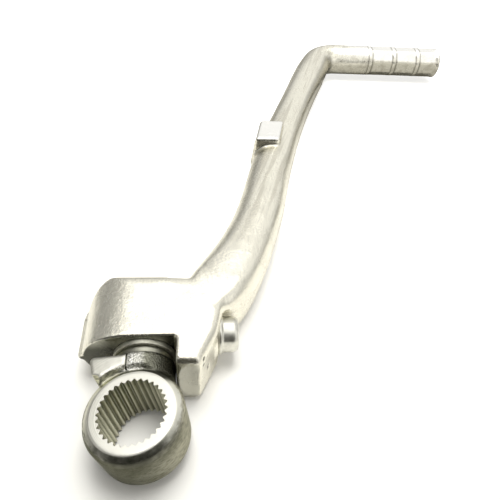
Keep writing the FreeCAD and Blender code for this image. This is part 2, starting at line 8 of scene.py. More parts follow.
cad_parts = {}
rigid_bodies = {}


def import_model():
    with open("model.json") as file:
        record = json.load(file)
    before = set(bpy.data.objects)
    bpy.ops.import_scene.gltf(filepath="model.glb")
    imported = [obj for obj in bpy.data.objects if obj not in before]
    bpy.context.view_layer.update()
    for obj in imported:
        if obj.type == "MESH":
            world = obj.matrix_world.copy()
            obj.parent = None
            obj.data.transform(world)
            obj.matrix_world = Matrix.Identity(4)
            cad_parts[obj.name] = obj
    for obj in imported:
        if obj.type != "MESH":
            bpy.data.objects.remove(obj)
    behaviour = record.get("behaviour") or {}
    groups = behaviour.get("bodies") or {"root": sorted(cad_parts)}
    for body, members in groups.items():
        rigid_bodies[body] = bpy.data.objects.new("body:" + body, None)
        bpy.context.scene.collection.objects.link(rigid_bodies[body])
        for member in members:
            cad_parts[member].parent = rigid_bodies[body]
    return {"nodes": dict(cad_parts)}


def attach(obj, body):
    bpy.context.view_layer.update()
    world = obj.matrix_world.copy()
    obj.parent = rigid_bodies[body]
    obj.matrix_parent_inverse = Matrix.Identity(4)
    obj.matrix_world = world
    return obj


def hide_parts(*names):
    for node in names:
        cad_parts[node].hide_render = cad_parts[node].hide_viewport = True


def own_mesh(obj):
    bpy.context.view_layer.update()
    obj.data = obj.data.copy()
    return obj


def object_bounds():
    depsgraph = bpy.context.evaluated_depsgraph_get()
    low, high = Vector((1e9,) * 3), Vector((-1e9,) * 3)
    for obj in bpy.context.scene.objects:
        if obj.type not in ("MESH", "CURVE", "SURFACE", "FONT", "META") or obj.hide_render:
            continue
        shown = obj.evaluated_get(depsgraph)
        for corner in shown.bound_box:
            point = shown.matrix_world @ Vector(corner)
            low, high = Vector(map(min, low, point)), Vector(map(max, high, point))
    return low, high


# folding kick start lever: forged arm, plated knuckle, screw, lying on a white table
for old in list(bpy.data.objects):
    bpy.data.objects.remove(old)
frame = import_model()
cadBox = [list(corner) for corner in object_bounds()]
nodes = frame["nodes"]
scene = bpy.context.scene
scene.view_settings.view_transform = "Standard"
mm = 0.001
print("frame loaded", [round(v / mm, 1) for corner in cadBox for v in corner])


# helpers for node trees
class Tree:
    def __init__(self, tree):
        self.tree = tree
        tree.nodes.clear()

    def plug(self, socket, value):
        if isinstance(value, bpy.types.NodeSocket):
            self.tree.links.new(value, socket)
        else:
            socket.default_value = value

    def add(self, kind, values=None, **settings):
        node = self.tree.nodes.new(kind)
        for name, value in settings.items():
            setattr(node, name, value)
        for key, value in (values or {}).items():
            self.plug(node.inputs[key], value)
        return node

    def math(self, operation, a, b=0.0, clamp=False):
        return self.add("ShaderNodeMath", {0: a, 1: b}, operation=operation, use_clamp=clamp).outputs[0]

    def times(self, product, *others):
        for other in others:
            product = self.math("MULTIPLY", product, other)
        return product

    def without(self, mask):
        return self.math("SUBTRACT", 1.0, mask)

    def frayed(self, value, roughly, size):
        # the value, moved up and down by a noise
        return self.math("ADD", value, self.times(self.math("SUBTRACT", roughly, 0.5), size))

    def vector(self, operation, a, b=(0, 0, 0)):
        node = self.add("ShaderNodeVectorMath", {0: a, 1: b}, operation=operation)
        return node.outputs["Value" if operation in ("DOT_PRODUCT", "LENGTH") else "Vector"]

    def toward(self, spot, axis):
        # how far the spot lies along the axis
        return self.vector("DOT_PRODUCT", spot, axis)

    def join(self, *parts):
        return self.add("ShaderNodeCombineXYZ", dict(enumerate(parts))).outputs[0]

    def spot(self):
        return self.add("ShaderNodeTexCoord").outputs["Object"]

    def ramp(self, value, low, high, start=0.0, end=1.0):
        # smooth change from start to end as the value goes from low to high
        pick = {"Value": value, "From Min": low, "From Max": high, "To Min": start, "To Max": end}
        return self.add("ShaderNodeMapRange", pick, interpolation_type="SMOOTHSTEP").outputs["Result"]

    def fall(self, value, low, high, start=1.0):
        return self.ramp(value, low, high, start, 0.0)

    def noise(self, spot, scale, detail, roughness):
        values = {"Vector": spot, "Scale": scale, "Detail": detail, "Roughness": roughness}
        return self.add("ShaderNodeTexNoise", values).outputs["Fac"]

    def mix(self, factor, a, b):
        # a colour mix has its colours at inputs 6 and 7, and its result at output 2
        node = self.add("ShaderNodeMix", data_type="RGBA")
        for socket, value in ((0, factor), (6, a), (7, b)):
            self.plug(node.inputs[socket], value)
        return node.outputs[2]

    def bump(self, height, distance, strength, normal=None):
        values = {"Height": height, "Distance": distance, "Strength": strength}
        if normal is not None:
            values["Normal"] = normal
        return self.add("ShaderNodeBump", values).outputs["Normal"]

    def bevel(self, radius, samples):
        return self.add("ShaderNodeBevel", {"Radius": radius}, samples=samples).outputs["Normal"]

    def finish(self, values, **constants):
        # principled surface: linked values first, then constants set on its sockets
        shader = self.add("ShaderNodeBsdfPrincipled", values)
        for name, value in constants.items():
            shader.inputs[name.replace("_", " ")].default_value = value
        self.add("ShaderNodeOutputMaterial", {"Surface": shader.outputs["BSDF"]})


def newMaterial(name):
    material = bpy.data.materials.new(name)
    material.use_nodes = True
    return material, Tree(material.node_tree)


def newObject(name, data):
    piece = bpy.data.objects.new(name, data)
    scene.collection.objects.link(piece)
    return piece


def dress(piece, material):
    piece.data.materials.clear()
    piece.data.materials.append(material)


# helpers for pieces that take the place of a node, with a finer mesh
weldGap = 0.002 * mm
relaxShare = 0.5      # of the way to the neighbours' middle, at each step


def remeshed(source, name, voxel):
    # an even fine mesh over the node's solid, and a tree to find the solid's own surface
    work = newObject(name + "Work", source.data.copy())
    weld = work.modifiers.new("weld", "WELD")
    weld.merge_threshold = weldGap
    remesh = work.modifiers.new("remesh", "REMESH")
    remesh.mode = "VOXEL"
    remesh.voxel_size = voxel
    graph = bpy.context.evaluated_depsgraph_get()
    mesh = bpy.data.meshes.new_from_object(work.evaluated_get(graph))
    mesh.name = name
    solid = BVHTree.FromObject(source, graph)
    bpy.data.objects.remove(work)
    return mesh, solid


def relax(skin, verts, steps):
    for step in range(steps):
        bmesh.ops.smooth_vert(skin, verts=verts, factor=relaxShare,
                              use_axis_x=True, use_axis_y=True, use_axis_z=True)


def skinnedPiece(name, skin, mesh):
    skin.to_mesh(mesh)
    skin.free()
    mesh.shade_smooth()
    print(name, len(mesh.polygons), "faces")
    return newObject(name, mesh)


# lever: the solid's form, with the soft edges, flash, ripple and pits of a tumbled forging
lever = {
    "voxel": 0.45 * mm,
    "softSteps": 6,
    "socketRadius": 9.3 * mm,     # the socket and its ball track stay as machined
    "socketEnd": 46.0 * mm,
    "seatRadius": 6.0 * mm,       # and so does the screw's seat
    "seatPlace": (14.0 * mm, 28.3 * mm),
    "flash": 0.32 * mm,           # line left by the dies along the arm's sides
    "flashHalf": 0.55 * mm,
    "flashSide": 0.6,
    "flashFrom": 44.0 * mm,
    "flashTo": 190.0 * mm,
    "ledge": 0.75 * mm,           # the hood's left side lies this far inside its flash
    "ledgeEnd": 46.0 * mm,
    "ledgeRise": (0.7 * mm, 8.5 * mm),
    "ledgeReach": (-11.0 * mm, -17.0 * mm),
    "ripple": 0.07 * mm,
    "rippleLength": 9.0 * mm,
    "pits": (                     # place, radius and depth
        ((17.0 * mm, 14.7 * mm, 8.0 * mm), 0.55 * mm, 0.75 * mm),
        ((16.8 * mm, 14.3 * mm, 5.6 * mm), 0.45 * mm, 0.45 * mm),
        ((18.3 * mm, 17.0 * mm, 0.8 * mm), 0.50 * mm, 0.60 * mm),
        ((18.3 * mm, 17.0 * mm, -0.6 * mm), 0.45 * mm, 0.55 * mm),
    ),
    "blends": (                   # hollows worked smooth where the arm leaves the head
        ((28.0 * mm, 41.0 * mm), 13.0 * mm, 40),
        ((12.6 * mm, 44.0 * mm), 7.0 * mm, 25),
    ),
    "dish": 0.8 * mm,             # hollow in the ear's end
    "dishCentre": (13.2 * mm, 1.0 * mm),
    "dishHalf": (3.6 * mm, 8.0 * mm),
    "dishTo": 14.0 * mm,
    "dishFacing": -0.9,
}


def machined(spot):
    across = math.hypot(spot.x, spot.z)
    inSocket = across < lever["socketRadius"] and spot.y < lever["socketEnd"]
    seatX, seatY = lever["seatPlace"]
    onSeat = spot.x > seatX and math.hypot(spot.y - seatY, spot.z) < lever["seatRadius"]
    return inSocket or onSeat


def forgedOffset(spot, normal):
    # how far a point of the forging's skin stands out from the plain form
    move = noise.noise(spot / lever["rippleLength"]) * lever["ripple"]
    beside = max(0.0, 1.0 - (spot.z / lever["flashHalf"]) ** 2)
    if abs(normal.z) < lever["flashSide"] and lever["flashFrom"] < spot.y < lever["flashTo"]:
        move += lever["flash"] * beside
    for place, radius, depth in lever["pits"]:
        away = (spot - Vector(place)).length / radius
        move -= depth * math.exp(-away * away)
    if normal.y < lever["dishFacing"] and spot.y < lever["dishTo"]:
        u = (spot.x - lever["dishCentre"][0]) / lever["dishHalf"][0]
        v = (spot.z - lever["dishCentre"][1]) / lever["dishHalf"][1]
        move -= lever["dish"] * max(0.0, 1.0 - u * u - v * v)
    return move


def hoodLedge(spot):
    # how far the hood's left side is set in, above and below its flash
    low, high = lever["ledgeRise"]
    near, far = lever["ledgeReach"]
    rise = (abs(spot.z) - low) / (high - low)
    if spot.y > lever["ledgeEnd"] or not 0.0 < rise < 1.0:
        return 0.0
    reach = min(max((spot.x - near) / (far - near), 0.0), 1.0)
    return lever["ledge"] * (1.0 - rise * rise) * reach


def forgedLever():
    mesh, solid = remeshed(nodes["lever_arm"], "forgedLever", lever["voxel"])
    skin = bmesh.new()
    skin.from_mesh(mesh)
    cut = [vert for vert in skin.verts if machined(vert.co)]
    kept = set(cut)
    soft = [vert for vert in skin.verts if vert not in kept]
    relax(skin, soft, lever["softSteps"])
    for (x, y), reach, steps in lever["blends"]:
        near = [vert for vert in soft if math.hypot(vert.co.x - x, vert.co.y - y) < reach]
        relax(skin, near, steps)
    for vert in cut:
        vert.co = solid.find_nearest(vert.co)[0]
    skin.normal_update()
    moved = [vert.co + vert.normal * forgedOffset(vert.co, vert.normal) for vert in soft]
    for vert, spot in zip(soft, moved):
        spot.x += hoodLedge(vert.co)
        vert.co = [min(max(spot[i], cadBox[0][i]), cadBox[1][i]) for i in range(3)]
    piece = skinnedPiece("forgedLever", skin, mesh)
    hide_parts("lever_arm")
    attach(piece, "lever")
    return piece


# forged aluminium: bright, tumbled, faintly grained, with specks where scale was pressed in
forging = {
    "bright": (0.895, 0.868, 0.755, 1),
    "dull": (0.75, 0.722, 0.622, 1),       # short rubbing marks
    "drawn": (0.66, 0.63, 0.535, 1),       # long bands along the arm
    "shadedSide": (0.50, 0.48, 0.41, 1),        # painted shade on the upper arm's right side
    "speck": (0.40, 0.38, 0.31, 1),
    # painted shade in the pits
    "pitShade": (0.07, 0.068, 0.055, 1),
    "ribShade": (0.30, 0.285, 0.24, 1),      # painted shade beside the pedal's ribs
    "topHighlight": (0.98, 0.97, 0.93, 1),     # painted highlights on the tops of the stop block and the pedal
    "faced": (0.34, 0.34, 0.285, 1),       # the head's turned end, darker partly as painted shade
    "endShade": (0.07, 0.07, 0.055, 1),        # painted shade low on it
    "milled": (0.50, 0.49, 0.42, 1),       # the ear's end, darker partly as painted shade
    "cloud": (140.0, 4.0, 0.6),            # noises: scale, detail, roughness
    "grain": (1000.0, 5.0, 0.7),
    "streak": (1500.0, 4.0, 0.65),
    "patch": (70.0, 2.0, 0.5),
    "fleck": (950.0, 2.0, 0.5),
    "band": (420.0, 3.0, 0.6),
    "streakRun": (1.0, 0.16, 1.0),         # both run along the lever
    "bandRun": (1.0, 0.05, 1.0),
    "lean": 0.36,                          # the arm's slant in plan
    "streakShow": (0.40, 0.72),            # where a noise starts and stops to show, and how much
    "cloudShow": (0.3, 0.65, 0.15, 1.0),
    "patchShow": (0.36, 0.58),
    "fleckShow": (0.73, 0.79),
    "bandShow": (0.46, 0.62, 0.0, 0.8),
    "crownSide": (-7.0 * mm, 0.0),         # the head's left side is grained all over
    "bandFrom": (45.0 * mm, 85.0 * mm),
    "pedalFrom": (110.0 * mm, 112.0 * mm),
    "ribTip": 157.6 * mm,
    "ribPitch": 14.2 * mm,
    "ribShare": 0.127,                     # shares of the pitch
    "grooveShare": 0.09,
    "ribEdgeShare": 0.02,
    "pitShadeEdge": (0.8, 1.6),                 # shares of the pit's radius
    "stripFrom": (120.0 * mm, 175.0 * mm),
    "stripFacing": (0.42, 0.66),           # shares of a face's normal
    "stripTurned": (0.78, 0.92),
    "topFrom": (95.0 * mm, 112.0 * mm),
    "topFacing": (0.45, 0.85),
    "topRibShade": 0.7,
    "endTo": (21.4 * mm, 21.8 * mm),
    "endFacing": (0.82, 0.97),
    "turnPitch": 0.35 * mm,
    "endShadeRise": (3.5 * mm, 8.5 * mm),
    "earTo": (14.0 * mm, 15.0 * mm),
    "blockFrom": (110.0 * mm, 112.0 * mm),
    "blockRise": (10.7 * mm, 10.9 * mm),
    "cloudShare": 0.6,
    "grainShare": 0.4,
    "roughness": (0.3, 0.7, 0.17, 0.31),
    "grainBump": (0.16 * mm, 0.75),        # height and strength
    "streakBump": (0.05 * mm, 0.5),
    "turnBump": (0.01 * mm, 0.5),
}


def ribShadeLines(tree, across):
    # narrow lines of painted shade on both sides of each of the pedal's ribs
    place = tree.math("DIVIDE", tree.math("SUBTRACT", forging["ribTip"], across), forging["ribPitch"])
    share = tree.math("FRACT", place)
    rib = 1.0 - forging["ribShare"]
    before = tree.fall(share, 0.0, forging["grooveShare"])
    after = tree.ramp(share, rib - forging["grooveShare"], rib)
    onRib = tree.ramp(share, rib, rib + forging["ribEdgeShare"])
    return tree.math("SUBTRACT", tree.math("ADD", before, after), onRib, clamp=True)


def forgedAluminium():
    material, tree = newMaterial("forgedAluminium")
    spot = tree.spot()
    across, along, up = [tree.toward(spot, axis) for axis in ((1, 0, 0), (0, 1, 0), (0, 0, 1))]
    # faces are told apart by the normal in the lever's own space, which turns with it
    worldNormal = tree.add("ShaderNodeNewGeometry").outputs["True Normal"]
    own = {"vector_type": "NORMAL", "convert_from": "WORLD", "convert_to": "OBJECT"}
    facet = tree.add("ShaderNodeVectorTransform", {"Vector": worldNormal}, **own).outputs[0]
    rightward, frontward, upward = [tree.toward(facet, axis) for axis in ((1, 0, 0), (0, -1, 0), (0, 0, 1))]

    # rubbing marks, specks and long bands
    cloud = tree.noise(spot, *forging["cloud"])
    grain = tree.noise(spot, *forging["grain"])
    streak = tree.noise(tree.vector("MULTIPLY", spot, forging["streakRun"]), *forging["streak"])
    worn = tree.times(tree.ramp(streak, *forging["streakShow"]), tree.ramp(cloud, *forging["cloudShow"]))
    colour = tree.mix(worn, forging["bright"], forging["dull"])
    fleck = tree.ramp(tree.noise(spot, *forging["fleck"]), *forging["fleckShow"])
    colour = tree.mix(fleck, colour, forging["speck"])
    slant = tree.math("SUBTRACT", across, tree.times(along, forging["lean"]))
    run = tree.vector("MULTIPLY", tree.join(slant, along, up), forging["bandRun"])
    band = tree.ramp(tree.noise(run, *forging["band"]), *forging["bandShow"])
    band = tree.times(band, tree.ramp(along, *forging["bandFrom"]))
    colour = tree.mix(band, colour, forging["drawn"])

    # painted shade beside the ribs and in the pits, painted shade on the upper arm's right side, painted
    # highlights on the tops
    beside = ribShadeLines(tree, across)
    onPedal = tree.ramp(across, *forging["pedalFrom"])
    colour = tree.mix(tree.times(beside, onPedal), colour, forging["ribShade"])
    # painted shade in the pits
    inner, outer = forging["pitShadeEdge"]
    for place, radius, _ in lever["pits"]:
        away = tree.vector("LENGTH", tree.vector("SUBTRACT", spot, place))
        colour = tree.mix(tree.fall(away, radius * inner, radius * outer), colour, forging["pitShade"])
    # painted shade on the upper arm's right side
    shadedSide = tree.times(tree.ramp(rightward, *forging["stripFacing"]),
                       tree.fall(rightward, *forging["stripTurned"]),
                       tree.ramp(along, *forging["stripFrom"]),
                       tree.without(onPedal))
    colour = tree.mix(shadedSide, colour, forging["shadedSide"])
    # painted highlights on the pedal's upward faces and on the stop block's top, with the rib shade kept on
    # them
    pedalHighlight = tree.times(tree.ramp(upward, *forging["topFacing"]),
                          tree.ramp(across, *forging["topFrom"]),
                          tree.without(tree.times(beside, forging["topRibShade"])))
    colour = tree.mix(pedalHighlight, colour, forging["topHighlight"])
    blockHighlight = tree.times(tree.ramp(up, *forging["blockRise"]), tree.ramp(along, *forging["blockFrom"]))
    colour = tree.mix(blockHighlight, colour, forging["topHighlight"])

    # turned end of the head and milled end of the ear, both darker partly as painted shade, with painted
    # shade low on the head's end
    faced = tree.times(tree.ramp(frontward, *forging["endFacing"]), tree.fall(along, *forging["endTo"]))
    endTone = tree.mix(tree.fall(up, *forging["endShadeRise"]), forging["faced"], forging["endShade"])
    endTone = tree.mix(tree.fall(along, *forging["earTo"]), endTone, forging["milled"])
    colour = tree.mix(faced, colour, endTone)
    turnRadius = tree.vector("LENGTH", tree.vector("MULTIPLY", spot, (1, 0, 1)))
    turns = tree.math("SINE", tree.times(turnRadius, 2 * math.pi / forging["turnPitch"]))

    # grain shows in patches, the rest is rubbed smooth
    patch = tree.ramp(tree.noise(spot, *forging["patch"]), *forging["patchShow"])
    patch = tree.math("MAXIMUM", patch, tree.fall(across, *forging["crownSide"]))
    mottle = tree.math("ADD", tree.times(cloud, forging["cloudShare"]),
                       tree.times(grain, forging["grainShare"]))
    roughness = tree.ramp(mottle, *forging["roughness"])
    normal = tree.bump(tree.times(grain, patch), *forging["grainBump"])
    normal = tree.bump(tree.times(streak, patch), *forging["streakBump"], normal)
    normal = tree.bump(tree.times(turns, faced), *forging["turnBump"], normal)
    tree.finish({"Base Color": colour, "Roughness": roughness, "Normal": normal}, Metallic=1.0)
    return material


# zinc plated steel knuckle: turned face and chamfer, broached bore, forged barrel and neck
knuckle = {
    "axis": (-0.15126, 0.0, 0.98849),
    "side": (0.98849, 0.0, 0.15126),
    "bright": (0.90, 0.885, 0.80, 1),      # the ring's face and the lug's facet
    "turned": (0.50, 0.495, 0.42, 1),      # tool marks on the face's left
    "barrel": (0.29, 0.285, 0.24, 1),
    "olive": (0.19, 0.19, 0.15, 1),
    # painted light on the barrel's right side
    "barrelLit": (0.50, 0.485, 0.40, 1),
    "neckLeftLit": (0.74, 0.73, 0.56, 1),        # painted light: a lighter, yellower tone left of the neck
    "rimTint": (0.55, 0.55, 0.48, 1),
    # the neck's right side, painted shade
    "neck": (0.25, 0.25, 0.195, 1),
    # painted highlight on the neck's left
    "neckHighlight": (1.0, 0.99, 0.92, 1),
    "chamfer": (0.76, 0.75, 0.66, 1),
    "stainAndShade": (0.09, 0.09, 0.07, 1),        # scratches, and a dark band under the chamfer at the front, partly real and partly painted shade
    "neckRightShade": (0.12, 0.12, 0.095, 1),       # painted shade right of the neck, beside the ear
    "collar": (0.42, 0.415, 0.345, 1),
    # painted highlight on the teeth's tops
    "toothLit": (0.66, 0.65, 0.53, 1),
    # painted shade in the teeth's roots
    "toothShade": (0.30, 0.30, 0.225, 1),
    "cloud": (260.0, 4.0, 0.6),            # noises: scale, detail, roughness
    "grain": (1700.0, 3.0, 0.6),
    "scratch": (2600.0, 4.0, 0.65),
    "wobble": (700.0, 2.0, 0.5),
    "line": (1900.0, 3.0, 0.6),
    "toolMark": (3200.0, 2.0, 0.6),
    "hide": 2300.0,                        # scale of the cells on the neck's skin
    "scratchRun": (0.25, 0.25, 1.0),       # scratches run round the barrel, and aslant on the neck
    "lineRun": (0.2, 1.0, 1.0),
    "lineTurn": math.radians(40.0),
    "faceTo": (11.2 * mm, 11.4 * mm),      # reach from the bore's axis
    "outside": (11.2 * mm, 11.6 * mm),
    "boreTo": (9.3 * mm, 9.45 * mm),
    "edgeFrom": (9.6 * mm, 10.5 * mm),
    "toothDepth": (8.35 * mm, 8.95 * mm),
    "stainFrom": (11.0 * mm, 11.4 * mm),
    "faceRise": (8.4 * mm, 8.6 * mm),      # height along the bore's axis
    "facetRise": (8.9 * mm, 9.1 * mm),
    "chamferRise": (7.3 * mm, 7.8 * mm),
    "chamferFray": 2.4 * mm,
    "stainRise": (-1.0 * mm, 6.6 * mm),
    "stainFray": 4.0 * mm,
    "neckFrom": (11.8 * mm, 12.6 * mm),    # distance towards the head
    "neckTo": (16.95 * mm, 17.1 * mm),
    "collarFrom": (17.0 * mm, 17.2 * mm),
    "chamferTo": (6.0 * mm, 9.0 * mm),
    "neckLeftLitFrom": (1.0 * mm, 7.0 * mm),
    "neckRightShadeFrom": (5.0 * mm, 9.0 * mm),
    "stainFront": (-10.0 * mm, 1.0 * mm, 0.9),
    "barrelLitSide": (2.0 * mm, 12.0 * mm),   # distance to the right of the bore's axis
    "neckLeftLitSide": (-9.0 * mm, -2.0 * mm),
    "neckRightShadeSide": (1.0 * mm, 6.5 * mm),
    "toolSide": (-11.5 * mm, -5.0 * mm, 0.85),
    "neckSide": (0.5 * mm, 4.0 * mm),
    "neckFray": 2.0 * mm,
    "seamFrom": (-3.1 * mm, -2.9 * mm),    # dark line where the facet ends
    "seamTo": (-2.65 * mm, -2.2 * mm),
    "cloudShow": (0.3, 0.75),              # where a noise starts and stops to show, and how much
    "stainShow": (0.25, 0.6, 0.6, 1.0),
    "scratchShow": (0.44, 0.64, 0.0, 0.8),
    "lineShow": (0.56, 0.64, 0.0, 0.75),
    "toolShow": (0.42, 0.6),
    "ringPitch": 0.2 * mm,
    "ringWobble": 0.1 * mm,
    "grainShare": 0.5,
    "roughness": (0.3, 0.7, 0.28, 0.42),
    "wornEdge": (1.4 * mm, 8),             # bevel radius and samples
    "toothEdge": (0.15 * mm, 4),
    "ringBump": (0.006 * mm, 0.5),         # height and strength
    "hideBump": (0.3 * mm, 0.8),
    "grainBump": (0.02 * mm, 0.6),
    "scratchBump": (0.09 * mm, 0.7),
}


def platedKnuckle():
    material, tree = newMaterial("platedKnuckle")
    spot = tree.spot()
    height = tree.toward(spot, knuckle["axis"])
    aside = tree.toward(spot, knuckle["side"])
    along = tree.toward(spot, (0, 1, 0))
    ringSpot = tree.join(aside, along, height)
    radius = tree.vector("LENGTH", tree.join(aside, along))
    inFace = tree.fall(radius, *knuckle["faceTo"])
    onFace = tree.ramp(height, *knuckle["faceRise"])
    onFacet = tree.ramp(height, *knuckle["facetRise"])
    faced = tree.math("ADD", tree.times(inFace, onFace), onFacet, clamp=True)
    inBore = tree.times(tree.fall(radius, *knuckle["boreTo"]), tree.without(onFace))
    onNeck = tree.times(tree.ramp(along, *knuckle["neckFrom"]), tree.fall(along, *knuckle["neckTo"]),
                        tree.without(onFacet))
    cloud = tree.noise(spot, *knuckle["cloud"])
    grain = tree.noise(spot, *knuckle["grain"])
    scratch = tree.noise(tree.vector("MULTIPLY", ringSpot, knuckle["scratchRun"]), *knuckle["scratch"])

    # forged barrel and neck; painted light on the barrel's right, painted light and shade on the neck and
    # beside it
    colour = tree.mix(tree.ramp(cloud, *knuckle["cloudShow"]), knuckle["barrel"], knuckle["olive"])
    # painted light: the barrel lighter on its right side
    colour = tree.mix(tree.ramp(aside, *knuckle["barrelLitSide"]), colour, knuckle["barrelLit"])
    # painted highlight on the neck's left, painted shade on its right
    neckSide = tree.math("ADD", aside, tree.times(grain, knuckle["neckFray"]))
    neckLitAndShaded = tree.mix(tree.ramp(neckSide, *knuckle["neckSide"]), knuckle["neckHighlight"], knuckle["neck"])
    colour = tree.mix(onNeck, colour, neckLitAndShaded)
    turn = {"Vector": ringSpot, "Angle": knuckle["lineTurn"]}
    aslant = tree.add("ShaderNodeVectorRotate", turn).outputs[0]
    line = tree.noise(tree.vector("MULTIPLY", aslant, knuckle["lineRun"]), *knuckle["line"])
    colour = tree.mix(tree.times(tree.ramp(line, *knuckle["lineShow"]), onNeck), colour, knuckle["stainAndShade"])
    seam = tree.times(tree.ramp(aside, *knuckle["seamFrom"]), tree.fall(aside, *knuckle["seamTo"]), onNeck)
    colour = tree.mix(seam, colour, knuckle["stainAndShade"])
    # painted light left of the neck
    neckLeftLit = tree.times(tree.fall(aside, *knuckle["neckLeftLitSide"]), tree.ramp(along, *knuckle["neckLeftLitFrom"]))
    colour = tree.mix(neckLeftLit, colour, knuckle["neckLeftLit"])
    # painted shade right of the neck
    neckRightShade = tree.times(tree.ramp(aside, *knuckle["neckRightShadeSide"]), tree.ramp(along, *knuckle["neckRightShadeFrom"]))
    colour = tree.mix(neckRightShade, colour, knuckle["neckRightShade"])
    marks = tree.times(tree.ramp(scratch, *knuckle["scratchShow"]), tree.without(onNeck))
    colour = tree.mix(marks, colour, knuckle["stainAndShade"])

    # chamfer with a ragged edge, a dark band under it that is partly real and partly painted shade, collar
    uneven = tree.frayed(height, scratch, knuckle["chamferFray"])
    onChamfer = tree.times(tree.ramp(uneven, *knuckle["chamferRise"]),
                           tree.fall(along, *knuckle["chamferTo"]))
    colour = tree.mix(onChamfer, colour, knuckle["chamfer"])
    ragged = tree.frayed(height, grain, knuckle["stainFray"])
    stainAndShade = tree.times(tree.ramp(ragged, *knuckle["stainRise"]),
                       tree.fall(along, *knuckle["stainFront"]),
                       tree.ramp(cloud, *knuckle["stainShow"]),
                       tree.ramp(radius, *knuckle["stainFrom"]))
    colour = tree.mix(stainAndShade, colour, knuckle["stainAndShade"])
    colour = tree.mix(tree.ramp(along, *knuckle["collarFrom"]), colour, knuckle["collar"])

    # broached teeth with painted highlights on their tops and painted shade in their roots, turned face
    toothLitAndShaded = tree.mix(tree.ramp(radius, *knuckle["toothDepth"]),
                         knuckle["toothLit"], knuckle["toothShade"])
    colour = tree.mix(inBore, colour, toothLitAndShaded)
    toolMark = tree.ramp(tree.noise(tree.join(radius), *knuckle["toolMark"]), *knuckle["toolShow"])
    toolMark = tree.times(toolMark, tree.fall(aside, *knuckle["toolSide"]))
    colour = tree.mix(faced, colour, tree.mix(toolMark, knuckle["bright"], knuckle["turned"]))
    wobble = tree.times(tree.noise(spot, *knuckle["wobble"]), knuckle["ringWobble"])
    turns = tree.times(tree.math("ADD", radius, wobble), 2 * math.pi / knuckle["ringPitch"])
    rings = tree.times(tree.math("SINE", turns), inFace)

    # worn edges, small ones on the teeth, and the grain of each surface
    mottle = tree.times(tree.math("ADD", grain, cloud), knuckle["grainShare"])
    roughness = tree.ramp(mottle, *knuckle["roughness"])
    soft = tree.mix(tree.ramp(radius, *knuckle["edgeFrom"]),
                    tree.bevel(*knuckle["toothEdge"]), tree.bevel(*knuckle["wornEdge"]))
    cells = {"Vector": spot, "Scale": knuckle["hide"]}
    hide = tree.add("ShaderNodeTexVoronoi", cells, feature="SMOOTH_F1").outputs["Distance"]
    normal = tree.bump(tree.times(rings, faced), *knuckle["ringBump"], soft)
    normal = tree.bump(tree.times(hide, onNeck), *knuckle["hideBump"], normal)
    normal = tree.bump(grain, *knuckle["grainBump"], normal)
    outside = tree.ramp(radius, *knuckle["outside"])
    normal = tree.bump(tree.times(scratch, outside), *knuckle["scratchBump"], normal)
    values = {"Base Color": colour, "Roughness": roughness, "Normal": normal}
    tree.finish(values, Metallic=1.0, Specular_Tint=knuckle["rimTint"])
    return material


# plated screw and plain steel pieces: two tones each, and the range of roughness
platedTones = ((0.78, 0.77, 0.70, 1), (0.60, 0.59, 0.53, 1))
plainTones = ((0.62, 0.61, 0.52, 1), (0.42, 0.415, 0.345, 1))
steel = {
    "screw": (platedTones, (0.31, 0.42)),
    "ball": (platedTones, (0.12, 0.2)),
    "washer": (plainTones, (0.45, 0.58)),
    "spring": (plainTones, (0.25, 0.4)),
    "cloud": (420.0, 3.0, 0.55),           # noises: scale, detail, roughness
    "grain": (2400.0, 3.0, 0.6),
    "cloudShow": (0.35, 0.7),
    "grainShow": (0.3, 0.7),
    "wornEdge": (0.7 * mm, 8),             # bevel radius and samples
    "bump": (0.01 * mm, 0.3),
}


def brightSteel(name, piece):
    material, tree = newMaterial(name)
    spot = tree.spot()
    tones, roughness = steel[piece]
    cloud = tree.noise(spot, *steel["cloud"])
    grain = tree.noise(spot, *steel["grain"])
    values = {
        "Base Color": tree.mix(tree.ramp(cloud, *steel["cloudShow"]), *tones),
        "Roughness": tree.ramp(grain, *steel["grainShow"], *roughness),
        "Normal": tree.bump(cloud, *steel["bump"], tree.bevel(*steel["wornEdge"])),
    }
    tree.finish(values, Metallic=1.0)
    return material


# rubber seal ring, hidden on the post
rubber = {
    "black": (0.025, 0.025, 0.025, 1),
    "bloom": (0.06, 0.06, 0.055, 1),
    "cloud": (600.0, 3.0, 0.6),
    "grain": (5000.0, 2.0, 0.5),
    "roughness": (0.3, 0.7, 0.5, 0.7),
    "bump": (0.01 * mm, 0.5),
}


def sealRubber():
    material, tree = newMaterial("sealRubber")
    spot = tree.spot()
    cloud = tree.noise(spot, *rubber["cloud"])
    values = {
        "Base Color": tree.mix(cloud, rubber["black"], rubber["bloom"]),
        "Roughness": tree.ramp(cloud, *rubber["roughness"]),
        "Normal": tree.bump(tree.noise(spot, *rubber["grain"]), *rubber["bump"]),
    }
    tree.finish(values)
    return material


# screw: its hex is worn nearly round, its shank and dog point stay as machined
screw = {
    "voxel": 0.2 * mm,
    "line": 28.3 * mm,            # the axis runs along X at this Y
    "flangeFrom": 21.4 * mm,
    "hexFrom": 22.6 * mm,
    "hexTo": 27.4 * mm,
    "wornRadius": 5.4 * mm,
    "endRadius": 4.7 * mm,
    "endTaper": 0.6,
    "wear": 0.75,
    "softSteps": 8,
}


